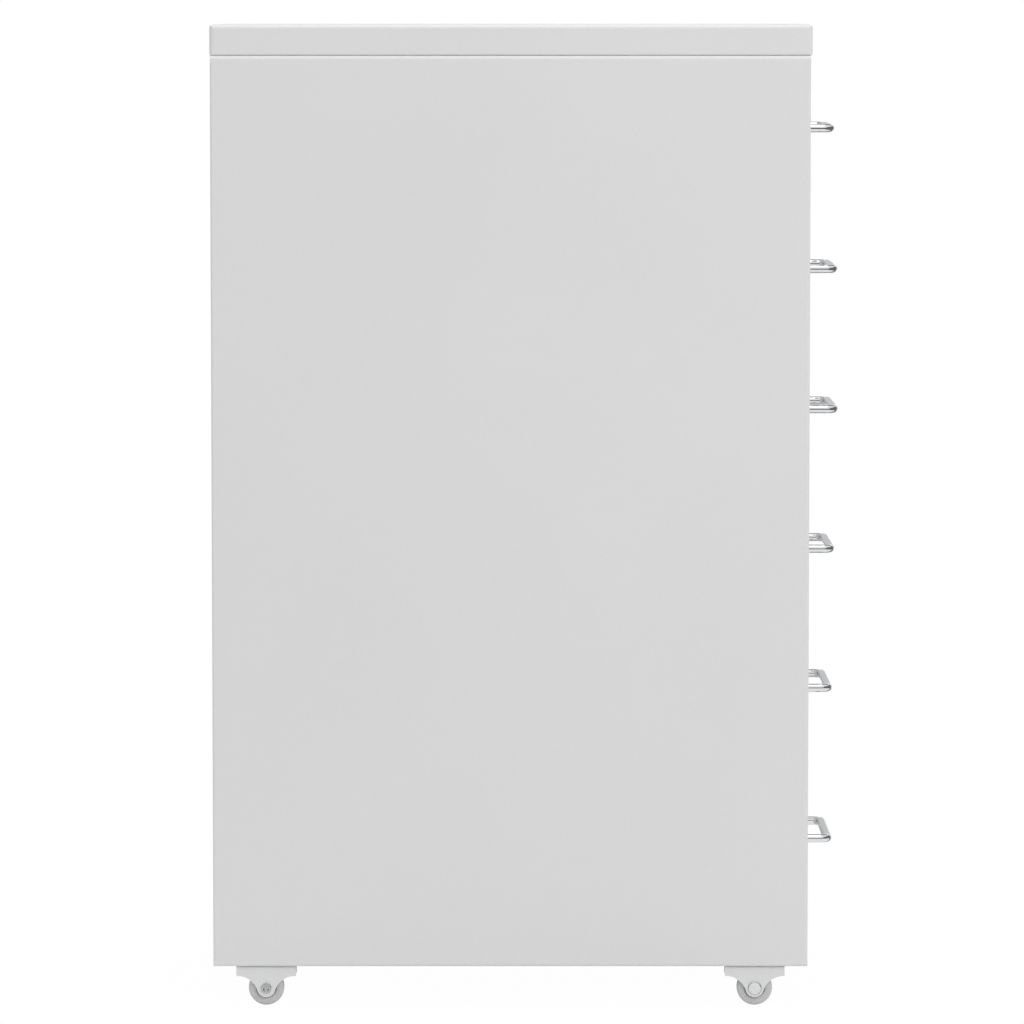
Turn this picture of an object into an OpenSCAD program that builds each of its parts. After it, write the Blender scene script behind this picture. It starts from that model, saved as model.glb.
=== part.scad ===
// Small drawer cabinet of folded sheet steel on four fixed casters.
// Six drawers hang by the rims of their trays in channel runners on the side panels.
// Frame: +Z up from the floor, the drawers face -Y, X runs across the width, and the
// origin is on the floor under the middle of the whole outline.

/* [Body] */
// Width of the folded body, without the lid
body_w = 278; // [240:1:320]
// Depth of the folded body, without the lid
body_d = 418; // [390:1:450]
// Thickness of the body's steel sheet
sheet_t = 0.8; // [0.7:0.1:1.2]
// Inside radius of the body's folds
fold_r = 0.8; // [0.6:0.1:1.2]
// Width of the side panel's front flange
front_flange = 11; // [8:0.5:14]
// Depth of the stiffening lip behind the front flange
flange_lip = 10; // [6:0.5:12]
// Width of the side panel's rear flange
rear_flange = 16; // [14:0.5:20]
// Width of the side panel's bottom flange, which the casters screw to
bottom_flange = 26; // [24:0.5:40]
// Width of the side panel's top flange, which the lid rests on
top_flange = 14; // [12:0.5:16]
// Inside radius of the side panel's top fold
top_fold_r = 2.2; // [1.6:0.1:2.6]
// Height of the base rail in front, above the body's lower edge
base_rail_h = 19.6; // [16:0.2:26]
// Depth of the flange folded back from the base rail
rail_flange = 12; // [8:0.5:16]
// Height of the top rail's lip, folded down behind the uppermost drawer front
rail_lip = 7; // [4:0.5:8]
// Gap between the uppermost drawer front's folded edge and the top rail's lip
rail_clear = 2; // [1:0.5:3]
// Height of the bottom panel's side and rear edges
floor_edge = 12; // [8:0.5:16]
// Depth of the back panel's folded top edge
back_edge = 13; // [12:0.5:16]
// Gap between the front flange's lip and what is above and below it
lip_gap = 1; // [0.5:0.5:3]
// Height from the uppermost drawer bay to the top of the body
head_room = 2.3; // [2:0.1:8]

/* [Lid] */
// Height of the lid
lid_h = 21.5; // [16:0.5:30]
// Inside radius of the lid's upper folds
lid_fold_r = 2.2; // [1.6:0.1:2.6]
// Inside radius of the fold along the lid's lower edge
hem_r = 0.2; // [0.1:0.1:0.8]
// How far the lid stands out beyond the body, in front and behind
lid_overhang = 0.8; // [0.4:0.1:1.6]
// How far the lid's sides are set in from the sides of the body
lid_inset = 1; // [0:0.1:1.6]
// How far the lid sits forward of the middle of the body
lid_forward = 0.4; // [0:0.1:0.4]

/* [Drawers] */
// Height from one small drawer to the next
pitch = 100; // [90:0.5:110]
// Height of the tall bottom drawer's bay
bottom_pitch = 117.4; // [100:0.1:130]
// Gap between drawer fronts, one above the other
front_gap = 2.5; // [1.5:0.5:4]
// Gap at each side of a drawer front
side_gap = 1.5; // [1:0.5:2.5]
// How far a closed drawer's front sits behind the body's front edge
recess = 4; // [3.5:0.5:6]
// Depth of the folded edges of a drawer front
front_depth = 12; // [8:0.5:14]
// Thickness of the drawers' steel sheet
tray_t = 0.7; // [0.6:0.1:1]
// Clear depth behind a closed drawer, to the rear of the body
rear_room = 20.3; // [17:0.1:50]
// Height of a tray's underside above the lower edge of its front
tray_lift = 5; // [4:0.5:8]
// Height of a front's upper edge above the rim of its tray
tray_drop = 11.5; // [7:0.5:14]
// Gap between a front's folded edge and the rim of its tray
rim_setback = 1; // [0.5:0.5:3]
// How far a drawer slides out from fully closed to its stop
travel = 300; // [250:1:320]
// How far the second drawer from the top stands open
ajar_2 = 2.6; // [0:0.1:3.4]
// How far the third drawer from the top stands open
ajar_3 = 3.3; // [0:0.1:3.4]
// How far the fourth drawer from the top stands open
ajar_4 = 1.2; // [0:0.1:3.4]

/* [Runners] */
// Gap between a closed front's folded edge and its runners
runner_setback = 4; // [3:0.5:8]
// Thickness of a runner's sheet
runner_t = 0.8; // [0.8:0.1:1.2]
// Clear height inside a runner
runner_gap = 3.4; // [3.2:0.1:5]
// Width of a tray's rim
rim_w = 6.5; // [5:0.5:8]
// Height of the rim's turned-down edge
rim_h = 2.7; // [2.4:0.1:2.8]
// Play beside the rim, and between a runner and the wall of the tray
rim_play = 1; // [0.6:0.1:1.6]
// Height of a rim above the runner's lower ledge
slide_play = 0.2; // [0.1:0.1:0.4]
// Width of the stop tab and of the tray's stop ear
stop_w = 7; // [5:0.5:9]
// Length of the stop tab along the runner
stop_l = 12; // [8:0.5:16]
// Height of the stop ears above the rim
ear_h = 4; // [3:0.5:5]
// Gap left at each stop, so that nothing binds
stop_play = 0.3; // [0.2:0.1:0.5]

/* [Handles] */
// Diameter of the handle wire
wire_d = 6; // [5:0.5:7]
// Distance between the middles of a handle's legs
handle_span = 96; // [64:1:160]
// Reach of a handle in front of its drawer front
handle_reach = 25.5; // [20:0.5:32]
// Radius of the handle's bends, at the middle of the wire
handle_bend_r = 6; // [5:0.5:9]
// Diameter of the handle screws
handle_screw_d = 3; // [2.5:0.5:3.5]
// Depth of the threaded hole in each leg
leg_hole = 11; // [10:0.5:12]
// Depth of a handle screw in its leg
leg_grip = 9; // [6:0.5:9.5]

/* [Casters] */
// Height of a caster, floor to body
caster_h = 28.4; // [28:0.1:34]
// Diameter of a wheel
wheel_d = 25; // [22:0.5:25]
// Width of a wheel's tread
wheel_w = 12; // [10:0.5:12.4]
// Width of a wheel's hub
hub_w = 13.4; // [12.8:0.1:13.6]
// Diameter of a wheel's hub
hub_d = 11; // [9:0.5:12]
// Radius of the wheel's shoulders
wheel_round = 2.4; // [1:0.1:3]
// Depth of the dish between hub and rim
dish = 1.5; // [1:0.5:3]
// Width of the tread's solid rim
wheel_rim = 3.2; // [2.6:0.1:4]
// Width of a bracket across its two cheeks
bracket_w = 17; // [17:0.5:19]
// Length of a bracket along the wheel's travel
bracket_l = 42; // [41:0.5:48]
// Thickness of a bracket's sheet
bracket_t = 1.5; // [1.2:0.1:1.6]
// Inside radius of a bracket's folds
bracket_fold_r = 0.5; // [0.5:0.1:1.4]
// Height of the straight part of a bracket's cheeks
cheek_h = 7.2; // [6:0.1:9]
// Radius of the hollow curve from the cheek to its ear
cheek_curve = 15; // [13:0.5:16]
// Radius of the ear around the axle
ear_r = 6.4; // [5:0.1:7]
// Distance of a bracket from the side of the body
caster_inset = 2.5; // [2:0.5:6]
// Distance of an axle from the front or rear of the body
axle_inset = 37; // [30:0.5:50]
// Diameter of an axle
axle_d = 5; // [4:0.5:5.5]
// Diameter of an axle's smooth head
axle_head_d = 9.6; // [8:0.2:10]
// Diameter of an axle's rolled end
axle_roll_d = 7.8; // [7.2:0.2:8.4]
// Thickness of both ends of an axle
axle_end_t = 1.2; // [1:0.1:1.6]
// Diameter of the hollow in an axle's rolled end
axle_hollow_d = 3; // [2.5:0.1:3]
// Distance between the two screws of a bracket
caster_screw_span = 32; // [31.5:0.5:33]

/* [Fasteners] */
// Diameter of the caster screws and the lid screws
screw_d = 4; // [3.5:0.5:4]
// Diameter of all the screw heads
head_d = 7; // [6.5:0.5:7.5]
// Height of all the screw heads
screw_head_h = 2.2; // [1.8:0.1:2.4]
// Length of the cross recess in a screw head
slot_l = 3.5; // [3:0.1:4]
// Width of the cross recess in a screw head
slot_w = 0.8; // [0.6:0.1:1.2]
// Width of the nuts across their flats
nut_flats = 7; // [6.5:0.5:8]
// Height of the nuts
nut_h = 3.2; // [2.5:0.1:4]
// How far a screw stands out above its nut
screw_end = 1; // [0.5:0.5:3]
// Clearance all round a screw in its plain hole
screw_fit = 0.15; // [0.1:0.05:0.3]
// Clearance all round a shaft in its bore
bore_fit = 0.05; // [0.03:0.01:0.08]

/* [Hidden] */
$fn = 48;
// Overlap of a cutting tool past the face that it cuts
cut = 1;
// Length over which two folds of one sheet share their metal
lap = 3;
// Number of small drawers, above the one tall drawer
SMALL = 5;
DRAWERS = [1:SMALL + 1];
CORNERS = ["front_left", "front_right", "rear_left", "rear_right"];
HANDS = ["left", "right"];

// Heights
body_z = caster_h;
bays_z = body_z + base_rail_h;
bays_top = bays_z + bottom_pitch + SMALL * pitch;
body_top = bays_top + head_room;
total_h = body_top + lid_h;
function bay_h(n) = n > SMALL ? bottom_pitch : pitch;
function bay_z(n) = n > SMALL ? bays_z : bays_z + bottom_pitch + (SMALL - n) * pitch;
function front_lo(n) = bay_z(n) + front_gap / 2;
function front_hi(n) = bay_z(n) + bay_h(n) - front_gap / 2;
function tray_lo(n) = front_lo(n) + tray_lift;
function rim_z(n) = front_hi(n) - tray_drop;
function handle_z(n) = (front_lo(n) + front_hi(n)) / 2;

// Depths, with the outline centred on the origin
ajar = [0, ajar_2, ajar_3, ajar_4, 0, 0];
function shut(n) = -ajar[n - 1];
reach_front = handle_reach - recess + max(ajar);
reach_rear = lid_overhang - lid_forward;
front_y = (reach_front - reach_rear - body_d) / 2;
rear_y = front_y + body_d;
face_y = front_y + recess;
function drawer_y(n) = face_y + shut(n);

// Widths
half_w = body_w / 2;
web_x = half_w - sheet_t;
opening_x = half_w - front_flange;
front_x = opening_x - side_gap;
rim_x = opening_x - side_gap - rim_play;
tray_x = rim_x - rim_w;
runner_x = tray_x + rim_play;
member_x = web_x - top_fold_r;

// Folds
function mid_r(r, t) = r + t / 2;
function over_r(r, t) = r + t;
body_over = over_r(fold_r, sheet_t);
top_over = over_r(top_fold_r, sheet_t);
lid_over = over_r(lid_fold_r, sheet_t);
hem_over = over_r(hem_r, sheet_t);
tray_over = over_r(fold_r, tray_t);

// Rails and the flanges that they meet
rail_y = front_y + sheet_t;
base_rail_z = bays_z;
floor_z = body_z + sheet_t;
frame_top = body_top - sheet_t;
back_y = rear_y - sheet_t;
lip_lo = base_rail_z + lip_gap;
lip_hi = frame_top - sheet_t - screw_head_h - lip_gap;

// Runners
tray_y = recess + tray_t;
tray_rear = body_d - rear_room;
tray_d = tray_rear - tray_y;
runner_y0 = recess + front_depth + runner_setback;
rear_stop_y = tray_rear + stop_play;
front_stop_y = tray_rear - tray_t - travel - stop_play;
runner_y1 = rear_stop_y + runner_t;

// Casters
axle_z = wheel_d / 2;
caster_x = half_w - caster_inset - bracket_w / 2;
caster_y = [front_y + axle_inset, rear_y - axle_inset];
cheek_z = caster_h - cheek_h;
curve_z = cheek_z - cheek_curve;
curve_y = sqrt(pow(ear_r + cheek_curve, 2) - pow(axle_z - curve_z, 2));
neck_z = axle_z + (curve_z - axle_z) * ear_r / (ear_r + cheek_curve);
caster_stack = bracket_t + 2 * sheet_t;
function side_sign(c) = (c == "front_left" || c == "rear_left" || c == "left") ? -1 : 1;
function row_y(c) = (c == "front_left" || c == "front_right") ? caster_y[0] : caster_y[1];
function head_out(c) = (c == "front_left" || c == "front_right");

// Lid screws, through the flat part of the top flange at each corner
lid_screw_in = (top_over + top_flange) / 2;
lid_screw_x = half_w - lid_screw_in;
lid_screw_y = [front_y + lid_screw_in, rear_y - lid_screw_in];
lid_stack = 3 * sheet_t;

// Colours
COAT = "gainsboro";
CHROME = "silver";
ZINC = "lightgray";
NYLON = "darkgray";

NODES = concat(
    ["lid", "side_panel_left", "side_panel_right", "back_panel", "bottom_panel", "top_rail"],
    [for (n = DRAWERS, h = HANDS) str("runner_", h, "_", n)],
    [for (n = DRAWERS, p = ["tray", "front", "handle", "handle_screws"]) str("drawer_", n, "_", p)],
    [for (c = CORNERS, p = ["bracket", "wheel", "axle"]) str("caster_", p, "_", c)],
    ["caster_screws", "caster_nuts", "lid_screws", "lid_nuts"]
);
node = "all";

// ---- Shapes for folded sheet ----

function unit(v) = v / norm(v);

// Quarter ring of a fold: it joins a run along d1 to a run along d2 around corner point c
module fold_ring(c, d1, d2, t, r) {
    mid = mid_r(r, t);
    over = over_r(r, t);
    centre = c - d1 * mid + d2 * mid;
    edge = centre + d1 * over - d2 * over;
    lo = [min(centre.x, edge.x), min(centre.y, edge.y)];
    intersection() {
        translate(centre) difference() {
            circle(over);
            circle(r);
        }
        translate(lo) square(over);
    }
}

// Section through a folded sheet: the path follows the middle of the sheet in right angles
module sheet_path(path, t, r) {
    last = len(path) - 1;
    mid = mid_r(r, t);
    for (i = [0:last - 1]) {
        d = unit(path[i + 1] - path[i]);
        a = path[i] + d * (i == 0 ? 0 : mid);
        b = path[i + 1] - d * (i + 1 == last ? 0 : mid);
        side = [abs(d.y), abs(d.x)] * t / 2;
        lo = [min(a.x, b.x), min(a.y, b.y)] - side;
        hi = [max(a.x, b.x), max(a.y, b.y)] + side;
        translate(lo) square(hi - lo);
    }
    for (i = [1:1:last - 1])
        fold_ring(path[i], unit(path[i] - path[i - 1]), unit(path[i + 1] - path[i]), t, r);
}

// Runs of a section along each axis, from one coordinate to another
module along_x(lo, hi) translate([lo, 0, 0]) rotate([90, 0, 90]) linear_extrude(hi - lo) children();
module along_y(lo, hi) translate([0, hi, 0]) rotate([90, 0, 0]) linear_extrude(hi - lo) children();
module along_z(lo, hi) translate([0, 0, lo]) linear_extrude(hi - lo) children();

// Box from its lowest corner to its highest
module box(lo, hi) translate(lo) cube(hi - lo);

// Rectangle with round corners, from its lowest corner to its highest
module round_rect(lo, hi, r) {
    translate([lo.x + r, lo.y]) square([hi.x - lo.x - 2 * r, hi.y - lo.y]);
    translate([lo.x, lo.y + r]) square([hi.x - lo.x, hi.y - lo.y - 2 * r]);
    for (x = [lo.x + r, hi.x - r], y = [lo.y + r, hi.y - r]) translate([x, y]) circle(r);
}

// Block whose edges are all folded round, as a pressed pan has
module soft_block(lo, hi, r) {
    intersection() {
        along_x(lo.x, hi.x) round_rect([lo.y, lo.z], [hi.y, hi.z], r);
        along_y(lo.y, hi.y) round_rect([lo.x, lo.z], [hi.x, hi.z], r);
        along_z(lo.z, hi.z) round_rect([lo.x, lo.y], [hi.x, hi.y], r);
    }
}

// Turns a shape over across the width where wanted
module mirrored(yes) {
    if (yes) mirror([1, 0, 0]) children();
    else children();
}

// ---- Fasteners ----

// Pan-head screw with a cross recess, its head up and its shank down from the origin
module pan_screw(d, l) {
    round_h = screw_head_h / 2;
    difference() {
        cylinder(h = screw_head_h, d = head_d);
        translate([0, 0, screw_head_h]) rotate_extrude() difference() {
            translate([head_d / 2 - round_h, -round_h]) square(round_h + cut);
            translate([head_d / 2 - round_h, -round_h]) circle(round_h);
        }
        for (s = [[slot_l, slot_w], [slot_w, slot_l]])
            translate([-s.x / 2, -s.y / 2, screw_head_h / 2]) cube([s.x, s.y, screw_head_h]);
    }
    translate([0, 0, -l]) cylinder(h = l, d = d);
}

// Hexagon nut, standing on the origin
module hex_nut() {
    difference() {
        cylinder(h = nut_h, d = nut_flats / cos(30), $fn = 6);
        translate([0, 0, -cut]) cylinder(h = nut_h + 2 * cut, d = screw_d + 2 * bore_fit);
    }
}

// ---- Body ----

// Section of the lid: its upper corners are rounder than its lower ones
module lid_section(lo, hi, upper, lower) {
    middle = (lo.y + hi.y) / 2;
    intersection() {
        round_rect(lo, hi, upper);
        translate([lo.x, middle]) square([hi.x - lo.x, hi.y - middle]);
    }
    intersection() {
        round_rect(lo, hi, lower);
        translate(lo) square([hi.x - lo.x, middle - lo.y]);
    }
}

// Block with the lid's round edges
module lid_block(lo, hi, upper, lower) {
    intersection() {
        along_x(lo.x, hi.x) lid_section([lo.y, lo.z], [hi.y, hi.z], upper, lower);
        along_y(lo.y, hi.y) lid_section([lo.x, lo.z], [hi.x, hi.z], upper, lower);
        along_z(lo.z, hi.z) round_rect([lo.x, lo.y], [hi.x, hi.y], upper);
    }
}

// Lid: a pan upside down, whose lower edge is folded inward to lie on the body's flanges
module lid() {
    side = half_w - lid_inset;
    lo = [-side, front_y - lid_overhang - lid_forward, body_top];
    hi = [side, rear_y + lid_overhang - lid_forward, total_h];
    wall = [sheet_t, sheet_t, sheet_t];
    open_x = half_w - top_flange;
    color(COAT) difference() {
        lid_block(lo, hi, lid_over, hem_over);
        lid_block(lo + wall, hi - wall, lid_fold_r, hem_r);
        box([-open_x, front_y + top_flange, body_top - cut],
            [open_x, rear_y - top_flange, body_top + sheet_t + cut]);
        lid_holes();
    }
}

// Tools for the lid screws' holes through the lid and the flanges under it
module lid_holes() {
    for (x = [-lid_screw_x, lid_screw_x], y = lid_screw_y)
        translate([x, y, body_top + sheet_t - lid_stack - cut])
            cylinder(h = lid_stack + 2 * cut, d = screw_d + 2 * screw_fit);
}

// Side panel: the outer sheet with its front, rear, top and bottom flanges, drawn for the left
module side_panel(hand) {
    web = -half_w + sheet_t / 2;
    lip_x = -opening_x - sheet_t / 2;
    fy = front_y + sheet_t / 2;
    ry = rear_y - sheet_t / 2;
    rear_end = [-half_w + rear_flange, ry];
    plain = [[-opening_x, fy], [web, fy], [web, ry], rear_end];
    lipped = [[lip_x, front_y + flange_lip], [lip_x, fy], [web, fy], [web, ry], rear_end];
    bz = body_z + sheet_t / 2;
    tz = body_top - sheet_t / 2;
    color(COAT) mirrored(hand == "right") difference() {
        union() {
            along_z(body_z + body_over, lip_lo) sheet_path(plain, sheet_t, fold_r);
            along_z(lip_lo, lip_hi) sheet_path(lipped, sheet_t, fold_r);
            along_z(lip_hi, body_top - top_over) sheet_path(plain, sheet_t, fold_r);
            along_y(front_y, rear_y) sheet_path(
                [[-half_w + bottom_flange, bz], [web, bz], [web, body_z + body_over + lap]],
                sheet_t, fold_r);
            along_y(front_y, rear_y) sheet_path(
                [[-half_w + top_flange, tz], [web, tz], [web, body_top - top_over - lap]],
                sheet_t, top_fold_r);
        }
        lid_holes();
        caster_holes(-1);
    }
}

// Tools for the caster screws' holes through the flange and the bottom panel
module caster_holes(side) {
    for (y = caster_y, s = [-1, 1])
        translate([side * caster_x, y + s * caster_screw_span / 2, body_z - cut])
            cylinder(h = 2 * sheet_t + 2 * cut, d = screw_d + 2 * screw_fit);
}

// Back panel: flat sheet welded inside the rear flanges, folded forward along its top
module back_panel() {
    y = back_y - sheet_t / 2;
    tz = frame_top - sheet_t / 2;
    color(COAT) difference() {
        along_x(-member_x, member_x) sheet_path(
            [[back_y - back_edge, tz], [y, tz], [y, floor_z + sheet_t]], sheet_t, fold_r);
        lid_holes();
    }
}

// Bottom panel: floor with folded side and rear edges and the base rail in front
module bottom_panel() {
    z = floor_z + sheet_t / 2;
    fy = rail_y + sheet_t / 2;
    ry = back_y - sheet_t - sheet_t / 2;
    edge_top = floor_z + floor_edge;
    side = member_x - sheet_t / 2;
    rail_top = base_rail_z - sheet_t / 2;
    color(COAT) difference() {
        union() {
            along_x(body_over - member_x, member_x - body_over) sheet_path([
                [rail_y + rail_flange, rail_top], [fy, rail_top], [fy, z], [ry, z], [ry, edge_top]
            ], sheet_t, fold_r);
            for (s = [-1, 1]) along_y(rail_y + body_over + lap, ry - body_over) sheet_path(
                [[s * (side - body_over - lap), z], [s * side, z], [s * side, edge_top]],
                sheet_t, fold_r);
        }
        caster_holes(-1);
        caster_holes(1);
    }
}

// Top rail: strip across the front under the lid, folded down behind the drawer front
module top_rail() {
    z = frame_top - sheet_t / 2;
    y = face_y + front_depth + rail_clear + sheet_t / 2;
    color(COAT) difference() {
        along_x(-member_x, member_x)
            sheet_path([[rail_y, z], [y, z], [y, frame_top - rail_lip]], sheet_t, fold_r);
        lid_holes();
    }
}

// Runner: channel that holds a tray's rim, with the two stops for the drawer
module runner(n, hand) {
    ledge = rim_z(n) - rim_h - slide_play;
    lz = ledge - runner_t / 2;
    uz = ledge + runner_gap + runner_t / 2;
    web = -web_x + runner_t / 2;
    color(ZINC) mirrored(hand == "right") {
        along_y(front_y + runner_y0, front_y + runner_y1) sheet_path(
            [[-runner_x, uz], [web, uz], [web, lz], [-runner_x, lz]], runner_t, fold_r);
        box([web, front_y + rear_stop_y, lz], [-runner_x, front_y + runner_y1, uz]);
        box([-runner_x - lap, front_y + front_stop_y - stop_l, uz - runner_t / 2],
            [-runner_x + stop_w, front_y + front_stop_y, uz + runner_t / 2]);
    }
}

// ---- Drawers ----

// Tray: folded floor, walls and rims, with two stop ears on the rear wall
module drawer_tray(n) {
    y0 = drawer_y(n) + tray_t;
    y1 = y0 + tray_d;
    rim_front = drawer_y(n) + front_depth + rim_setback;
    lo = [-tray_x, y0, tray_lo(n)];
    hi = [tray_x, y1, rim_z(n) + 2 * tray_over];
    wall = [tray_t, tray_t, tray_t];
    wall_top = rim_z(n) - tray_over;
    rim = rim_z(n) - tray_t / 2;
    side = tray_x - tray_t / 2;
    edge = rim_x - tray_t / 2;
    color(COAT) {
        difference() {
            intersection() {
                along_x(lo.x, hi.x) round_rect([lo.y, lo.z], [hi.y, hi.z], tray_over);
                along_y(lo.y, hi.y) round_rect([lo.x, lo.z], [hi.x, hi.z], tray_over);
            }
            intersection() {
                along_x(lo.x + tray_t, hi.x - tray_t)
                    round_rect([lo.y, lo.z] + [tray_t, tray_t], [hi.y - tray_t, hi.z + cut], fold_r);
                along_y(lo.y + tray_t, hi.y - tray_t)
                    round_rect([lo.x, lo.z] + [tray_t, tray_t], [hi.x - tray_t, hi.z + cut], fold_r);
            }
            box([-body_w, y0 - cut, rim_z(n)], [body_w, y1 + cut, rim_z(n) + bay_h(n)]);
            for (s = [-1, 1]) {
                far = s * (tray_x + cut);
                near = s * (tray_x - tray_t);
                box([min(far, near), rim_front, wall_top], [max(far, near), y1 + cut, rim_z(n) + cut]);
            }
            handle_holes(n);
        }
        for (s = [-1, 1]) {
            along_y(rim_front, y1) sheet_path([
                [s * side, wall_top - lap], [s * side, rim], [s * edge, rim],
                [s * edge, rim_z(n) - rim_h]
            ], tray_t, fold_r);
            ear = s * (runner_x - rim_play - tray_t - stop_w / 2);
            box([ear - stop_w / 2, y1 - tray_t, rim_z(n) - lap], [ear + stop_w / 2, y1, rim_z(n) + ear_h]);
        }
    }
}

// Front: a shallow pan whose edges are folded back
module drawer_front(n) {
    y = drawer_y(n);
    lo = [-front_x, y, front_lo(n)];
    hi = [front_x, y + front_depth + 2 * body_over, front_hi(n)];
    wall = [tray_t, tray_t, tray_t];
    color(COAT) difference() {
        soft_block(lo, hi, tray_over);
        soft_block(lo + wall, hi - wall, fold_r);
        box([-body_w, y + front_depth, 0], [body_w, y + body_d, total_h]);
        handle_holes(n);
    }
}

// Tools for the two handle screws' holes through front and tray
module handle_holes(n) {
    for (s = [-1, 1]) translate([s * handle_span / 2, drawer_y(n) - cut, handle_z(n)])
        rotate([-90, 0, 0]) cylinder(h = 2 * tray_t + 2 * cut, d = handle_screw_d + 2 * screw_fit);
}

// Handle: bent wire with a threaded hole in the foot of each leg
module handle(n) {
    out = handle_reach - wire_d / 2;
    leg = out - handle_bend_r;
    color(CHROME) translate([0, drawer_y(n), handle_z(n)]) {
        for (s = [-1, 1]) translate([s * handle_span / 2, 0, 0]) {
            difference() {
                rotate([90, 0, 0]) cylinder(h = leg, d = wire_d);
                rotate([90, 0, 0]) translate([0, 0, -cut])
                    cylinder(h = leg_hole + cut, d = handle_screw_d + 2 * bore_fit);
            }
            translate([-s * handle_bend_r, -leg, 0]) mirrored(s < 0)
                rotate([0, 0, -90]) rotate_extrude(angle = 90)
                    translate([handle_bend_r, 0]) circle(d = wire_d);
        }
        translate([handle_bend_r - handle_span / 2, -out, 0]) rotate([0, 90, 0])
            cylinder(h = handle_span - 2 * handle_bend_r, d = wire_d);
    }
}

// Two screws from inside the tray into the handle's legs
module handle_screws(n) {
    inside = drawer_y(n) + 2 * tray_t;
    color(ZINC) for (s = [-1, 1]) translate([s * handle_span / 2, inside, handle_z(n)])
        rotate([-90, 0, 0]) pan_screw(handle_screw_d, 2 * tray_t + leg_grip);
}

// ---- Casters ----

// Outline of a bracket's cheek: a straight band that curves in to the ear round the axle
module cheek_outline() {
    translate([-bracket_l / 2, cheek_z]) square([bracket_l, cheek_h]);
    translate([0, axle_z]) circle(ear_r);
    difference() {
        translate([-curve_y, neck_z]) square([2 * curve_y, cheek_z - neck_z]);
        for (s = [-1, 1]) translate([s * curve_y, curve_z]) circle(cheek_curve);
    }
}

// Bracket: sheet folded down on both sides of the wheel
module caster_bracket(corner) {
    edge = bracket_w / 2 - bracket_t / 2;
    top = caster_h - bracket_t / 2;
    color(ZINC) translate([side_sign(corner) * caster_x, row_y(corner), 0]) difference() {
        intersection() {
            along_y(-bracket_l / 2, bracket_l / 2)
                sheet_path([[-edge, 0], [-edge, top], [edge, top], [edge, 0]],
                    bracket_t, bracket_fold_r);
            along_x(-bracket_w, bracket_w) cheek_outline();
        }
        along_x(-bracket_w, bracket_w) translate([0, axle_z]) circle(d = axle_d + 2 * bore_fit);
        for (s = [-1, 1]) translate([0, s * caster_screw_span / 2, caster_h - bracket_t - cut])
            cylinder(h = bracket_t + 2 * cut, d = screw_d + 2 * screw_fit);
    }
}

// Half section of a wheel, from its bore out to the tread
module wheel_section() {
    r = wheel_d / 2;
    half = wheel_w / 2;
    bore = axle_d / 2 + bore_fit;
    difference() {
        union() {
            translate([bore, -hub_w / 2]) square([hub_d / 2 - bore, hub_w]);
            translate([bore, -half + dish]) square([r - wheel_round - bore, wheel_w - 2 * dish]);
            round_rect([r - wheel_rim - wheel_round, -half], [r, half], wheel_round);
        }
        translate([-cut, -hub_w]) square([bore + cut, 2 * hub_w]);
    }
}

// Wheel: moulded disc with a thick tread and a hub that runs between the cheeks
module caster_wheel(corner) {
    color(NYLON) translate([side_sign(corner) * caster_x, row_y(corner), axle_z])
        rotate([0, 90, 0]) rotate_extrude() wheel_section();
}

// Axle: rivet with a smooth head at one end and a rolled hollow end at the other
module caster_axle(corner) {
    half = bracket_w / 2;
    dome = axle_end_t / 2;
    color(ZINC) translate([side_sign(corner) * caster_x, row_y(corner), axle_z])
        mirrored(head_out(corner) == (side_sign(corner) < 0)) rotate([0, 90, 0])
        rotate_extrude() difference() {
            union() {
                translate([0, -half]) square([axle_d / 2, bracket_w]);
                translate([0, half]) square([axle_head_d / 2 - dome, axle_end_t]);
                translate([0, half]) square([axle_head_d / 2, dome]);
                translate([axle_head_d / 2 - dome, half + dome]) circle(dome);
                translate([0, -half - axle_end_t]) square([axle_roll_d / 2 - dome, axle_end_t]);
                translate([axle_roll_d / 2 - dome, -half - dome]) circle(dome);
            }
            translate([-cut, -half - axle_end_t - cut])
                square([axle_hollow_d / 2 + cut, 2 * axle_end_t + cut]);
            translate([-2 * cut, -bracket_w]) square([2 * cut, 2 * bracket_w]);
        }
}

// Every place where a screw holds a caster
module each_caster_screw() {
    for (side = [-1, 1], y = caster_y, s = [-1, 1])
        translate([side * caster_x, y + s * caster_screw_span / 2, 0]) children();
}

// Eight screws, up through bracket, flange and bottom panel
module caster_screws() {
    color(ZINC) each_caster_screw() translate([0, 0, caster_h - bracket_t])
        rotate([180, 0, 0]) pan_screw(screw_d, caster_stack + nut_h + screw_end);
}

// Eight nuts on the bottom panel
module caster_nuts() {
    color(ZINC) each_caster_screw() translate([0, 0, floor_z + sheet_t]) hex_nut();
}

// Every place where a screw holds the lid
module each_lid_screw() {
    for (x = [-lid_screw_x, lid_screw_x], y = lid_screw_y) translate([x, y, 0]) children();
}

// Four screws, up through rail or back panel, side panel and lid
module lid_screws() {
    color(ZINC) each_lid_screw() translate([0, 0, body_top + sheet_t - lid_stack])
        rotate([180, 0, 0]) pan_screw(screw_d, lid_stack + nut_h + screw_end);
}

// Four nuts welded inside the lid
module lid_nuts() {
    color(ZINC) each_lid_screw() translate([0, 0, body_top + sheet_t]) hex_nut();
}

function wanted(name) = node == "all" || node == name;

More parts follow.
